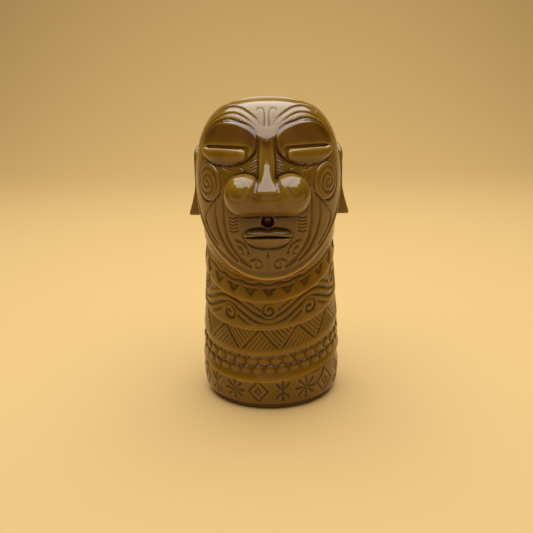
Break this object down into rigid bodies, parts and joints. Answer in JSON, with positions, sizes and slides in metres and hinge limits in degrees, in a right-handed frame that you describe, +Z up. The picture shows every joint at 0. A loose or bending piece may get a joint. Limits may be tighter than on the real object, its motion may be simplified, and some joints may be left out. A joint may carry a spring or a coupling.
{
  "type": "tiki mug",
  "caption": "Glazed ceramic drinking mug shaped as a carved bald head with closed eyes, on a neck of overlapping ornamented bands, open at the back of the crown.",
  "frame": {"origin": "on the axis of the well, at the underside of the foot ring", "axes": "+Z up, -Y the way the face looks, +X towards the left ear of the figure, on the viewer's right"},
  "size_m": [0.0916, 0.0957, 0.1703],
  "materials": {
    "glaze": "glossy amber-brown glaze, darker where it pools in the carving",
    "glaze_thin": "glossy amber-brown glaze, thinner and lighter over raised forms",
    "bare_clay": "matt, bare fired clay"
  },
  "bodies": {
    "root": {"foot_ring": "bare_clay", "floor_disc": "glaze", "collar_1": "glaze", "collar_2": "glaze", "collar_3": "glaze", "collar_4": "glaze", "collar_5": "glaze", "pellets": "glaze_thin", "skull_shell": "glaze", "face_shell": "glaze", "mouth_rim": "glaze_thin", "nose": "glaze_thin", "upper_lip": "glaze_thin", "lower_lip": "glaze_thin", "upper_eyelid_left": "glaze_thin", "upper_eyelid_right": "glaze_thin", "lower_eyelid_left": "glaze_thin", "lower_eyelid_right": "glaze_thin", "cheek_disc_left": "glaze_thin", "cheek_disc_right": "glaze_thin", "ear_left": "glaze", "ear_right": "glaze"}
  },
  "joints": []
}
